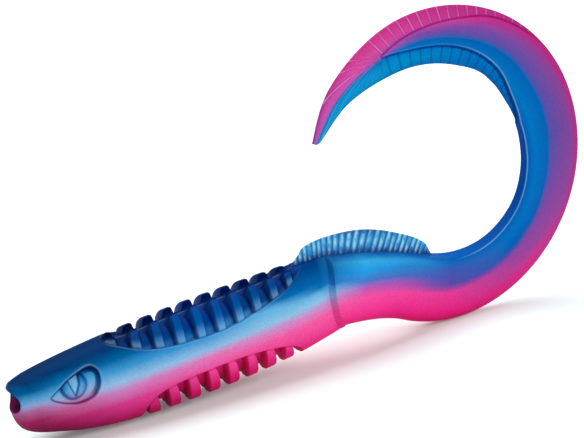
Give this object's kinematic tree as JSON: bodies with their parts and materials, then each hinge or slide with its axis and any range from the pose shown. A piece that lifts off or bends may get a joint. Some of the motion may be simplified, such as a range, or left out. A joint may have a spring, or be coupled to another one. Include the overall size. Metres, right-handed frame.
{
  "type": "soft plastic worm",
  "caption": "Soft plastic fishing worm with a hook pocket in the nose, ribbed bending trunk, dorsal fin and a flat curled tail that opens and sweeps.",
  "frame": {"origin": "centre of the nose pocket's mouth, on the mid plane", "axes": "+X from the nose to the tail, +Z towards the back and its fin, -Y the side the picture shows (the worm's left)"},
  "size_m": [0.1176, 0.0138, 0.0591],
  "materials": {
    "back_plastic": "pearl blue soft plastic, satin",
    "belly_plastic": "pearl pink soft plastic, satin",
    "fin_membrane": "thin translucent blue soft plastic"
  },
  "bodies": {
    "head": {"head_back": "back_plastic", "head_belly": "belly_plastic"},
    "trunk_1": {"trunk_1_back": "back_plastic", "trunk_1_belly": "belly_plastic"},
    "trunk_2": {"trunk_2_back": "back_plastic", "trunk_2_belly": "belly_plastic"},
    "trunk_3": {"trunk_3_back": "back_plastic", "trunk_3_belly": "belly_plastic"},
    "trunk_4": {"trunk_4_back": "back_plastic", "trunk_4_belly": "belly_plastic", "fin_front": "fin_membrane"},
    "tail_root": {"tail_root_back": "back_plastic", "tail_root_belly": "belly_plastic", "fin_rear": "fin_membrane"},
    "curl_1": {"curl_1_back": "back_plastic", "curl_1_belly": "belly_plastic"},
    "curl_2": {"curl_2_back": "back_plastic", "curl_2_belly": "belly_plastic"},
    "curl_3": {"curl_3_back": "back_plastic", "curl_3_belly": "belly_plastic"},
    "curl_4": {"curl_4_back": "back_plastic", "curl_4_belly": "belly_plastic"},
    "curl_5": {"curl_5_back": "back_plastic", "curl_5_belly": "belly_plastic"},
    "curl_6": {"curl_6_back": "back_plastic", "curl_6_belly": "belly_plastic"},
    "curl_7": {"curl_7_back": "back_plastic", "curl_7_belly": "belly_plastic"},
    "curl_8": {"curl_8_back": "back_plastic", "curl_8_belly": "belly_plastic"},
    "curl_9": {"curl_9_back": "back_plastic", "curl_9_belly": "belly_plastic"}
  },
  "joints": [
    {"name": "neck_bend", "type": "hinge", "parent": "head", "child": "trunk_1", "pos_m": [0.0207, 0, -0.0028], "axis": [0, 0, 1], "range_deg": [-9, 9], "stiffness_Nm_per_rad": 0.12},
    {"name": "trunk_bend_1", "type": "hinge", "parent": "trunk_1", "child": "trunk_2", "pos_m": [0.02806, 0, -0.0028], "axis": [0, 0, 1], "range_deg": [-9, 9], "stiffness_Nm_per_rad": 0.12},
    {"name": "trunk_bend_2", "type": "hinge", "parent": "trunk_2", "child": "trunk_3", "pos_m": [0.03542, 0, -0.0028], "axis": [0, 0, 1], "range_deg": [-9, 9], "stiffness_Nm_per_rad": 0.12},
    {"name": "trunk_bend_3", "type": "hinge", "parent": "trunk_3", "child": "trunk_4", "pos_m": [0.04278, 0, -0.0028], "axis": [0, 0, 1], "range_deg": [-9, 9], "stiffness_Nm_per_rad": 0.12},
    {"name": "collar_bend", "type": "hinge", "parent": "trunk_4", "child": "tail_root", "pos_m": [0.061, 0, -0.0028], "axis": [0, 0, 1], "range_deg": [-12, 12], "stiffness_Nm_per_rad": 0.1},
    {"name": "tail_sweep_1", "type": "hinge", "parent": "tail_root", "child": "curl_1", "pos_m": [0.07727, 0, -0.00747], "axis": [0.4695, 0, 0.8829], "range_deg": [-20, 20], "stiffness_Nm_per_rad": 0.08},
    {"name": "uncurl_1", "type": "hinge", "parent": "curl_1", "child": "curl_2", "pos_m": [0.08906, 0, -0.01024], "axis": [0, 1, 0], "range_deg": [0, 30], "stiffness_Nm_per_rad": 0.08},
    {"name": "tail_sweep_2", "type": "hinge", "parent": "curl_2", "child": "curl_3", "pos_m": [0.10076, 0, -0.00666], "axis": [-0.5434, 0, 0.8395], "range_deg": [-20, 20], "stiffness_Nm_per_rad": 0.06},
    {"name": "uncurl_2", "type": "hinge", "parent": "curl_3", "child": "curl_4", "pos_m": [0.10893, 0, 0.00249], "axis": [0, 1, 0], "range_deg": [0, 30], "stiffness_Nm_per_rad": 0.06},
    {"name": "tail_sweep_3", "type": "hinge", "parent": "curl_4", "child": "curl_5", "pos_m": [0.11131, 0, 0.01452], "axis": [-0.9976, 0, -0.0697], "range_deg": [-20, 20], "stiffness_Nm_per_rad": 0.05},
    {"name": "uncurl_3", "type": "hinge", "parent": "curl_5", "child": "curl_6", "pos_m": [0.10765, 0, 0.02636], "axis": [0, 1, 0], "range_deg": [0, 30], "stiffness_Nm_per_rad": 0.05},
    {"name": "tail_sweep_4", "type": "hinge", "parent": "curl_6", "child": "curl_7", "pos_m": [0.09839, 0, 0.03505], "axis": [-0.4213, 0, -0.9069], "range_deg": [-20, 20], "stiffness_Nm_per_rad": 0.03},
    {"name": "uncurl_4", "type": "hinge", "parent": "curl_7", "child": "curl_8", "pos_m": [0.08618, 0, 0.03802], "axis": [0, 1, 0], "range_deg": [0, 30], "stiffness_Nm_per_rad": 0.03},
    {"name": "tail_sweep_5", "type": "hinge", "parent": "curl_8", "child": "curl_9", "pos_m": [0.07372, 0, 0.03509], "axis": [0.5437, 0, -0.8393], "range_deg": [-20, 20], "stiffness_Nm_per_rad": 0.012}
  ],
  "couplings": [
    {"joint": "uncurl_2", "follows": "uncurl_1", "ratio": 1},
    {"joint": "uncurl_3", "follows": "uncurl_1", "ratio": 1},
    {"joint": "uncurl_4", "follows": "uncurl_1", "ratio": 1}
  ]
}
